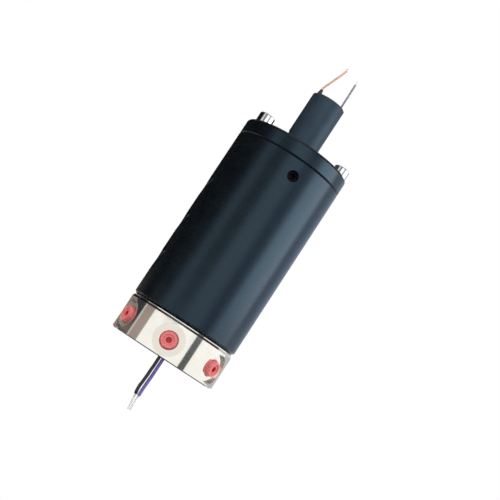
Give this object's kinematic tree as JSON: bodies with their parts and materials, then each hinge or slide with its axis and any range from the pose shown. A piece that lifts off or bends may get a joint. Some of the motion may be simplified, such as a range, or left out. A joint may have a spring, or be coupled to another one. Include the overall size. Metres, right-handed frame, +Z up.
{
  "type": "pneumatic rotary union",
  "caption": "Cylindrical pneumatic rotary union with a plugged nickel-plated ported base, a black ported housing turning on it, and a small slip ring on top with flying leads.",
  "frame": {"origin": "centre of the base's underside", "axes": "+Z up the axis of rotation, from the base to the slip ring; -Y towards the housing's set screw; -X towards the row of housing ports seen at the left"},
  "size_m": [0.06, 0.0606, 0.2142],
  "materials": {
    "nickel_plate": "bright nickel plate on steel",
    "black_anodised": "satin black anodised",
    "bright_steel": "bright zinc plate",
    "dark_steel": "black oxide",
    "spring_steel": "phosphated",
    "bearing_steel": "ground",
    "cage_brass": "stamped",
    "contact_brass": "gold-washed",
    "bush_bronze": "sintered",
    "red_plastic": "moulded polyethylene",
    "seal_plastic": "turned fluoropolymer",
    "spindle_plastic": "moulded",
    "block_plastic": "moulded",
    "black_rubber": "moulded nitrile rubber",
    "black_sleeve": "shrunk sleeve",
    "black_lead": "extruded wire insulation",
    "violet_lead": "extruded wire insulation",
    "grey_violet_lead": "extruded wire insulation",
    "orange_lead": "extruded wire insulation"
  },
  "bodies": {
    "rotor": {"rotor": "nickel_plate", "channel_plugs": "bright_steel", "lead_grommet": "black_rubber", "port_plug_1": "red_plastic", "port_plug_2": "red_plastic", "port_plug_3": "red_plastic", "port_plug_4": "red_plastic", "port_plug_5": "red_plastic", "port_plug_6": "red_plastic", "rotor_lead_black": "black_lead", "rotor_lead_violet": "violet_lead", "lower_inner_race": "bearing_steel", "upper_inner_race": "bearing_steel", "shaft_circlip": "spring_steel", "slip_ring_spindle": "spindle_plastic", "contact_ring_1": "contact_brass", "contact_ring_2": "contact_brass"},
    "housing": {"housing": "black_anodised", "seal_ring_1": "seal_plastic", "seal_ring_2": "seal_plastic", "seal_ring_3": "seal_plastic", "seal_ring_4": "seal_plastic", "seal_ring_5": "seal_plastic", "seal_ring_6": "seal_plastic", "seal_ring_7": "seal_plastic", "seal_spring_1": "black_rubber", "seal_spring_2": "black_rubber", "seal_spring_3": "black_rubber", "seal_spring_4": "black_rubber", "seal_spring_5": "black_rubber", "seal_spring_6": "black_rubber", "seal_spring_7": "black_rubber", "dust_seal": "black_rubber", "lower_outer_race": "bearing_steel", "upper_outer_race": "bearing_steel", "cap": "black_anodised", "cap_o_ring": "black_rubber", "cap_screws": "bright_steel", "set_screw": "dark_steel", "slip_ring_cover": "black_anodised", "brush_block": "block_plastic", "brush_1": "contact_brass", "brush_2": "contact_brass", "spindle_bush": "bush_bronze", "lead_sleeve_orange": "black_sleeve", "lead_sleeve_violet": "black_sleeve", "stator_lead_orange": "orange_lead", "stator_lead_violet": "grey_violet_lead"},
    "lower_cage": {"lower_cage": "cage_brass", "lower_balls": "bearing_steel"},
    "upper_cage": {"upper_cage": "cage_brass", "upper_balls": "bearing_steel"}
  },
  "joints": [
    {"name": "housing_spin", "type": "hinge", "parent": "rotor", "child": "housing", "pos_m": [0, 0, 0.07], "axis": [0, 0, 1], "continuous": true},
    {"name": "lower_cage_spin", "type": "hinge", "parent": "rotor", "child": "lower_cage", "pos_m": [0, 0, 0.0278], "axis": [0, 0, 1], "continuous": true},
    {"name": "upper_cage_spin", "type": "hinge", "parent": "rotor", "child": "upper_cage", "pos_m": [0, 0, 0.1098], "axis": [0, 0, 1], "continuous": true}
  ],
  "couplings": [
    {"joint": "lower_cage_spin", "follows": "housing_spin", "ratio": 0.55556},
    {"joint": "upper_cage_spin", "follows": "housing_spin", "ratio": 0.55556}
  ]
}
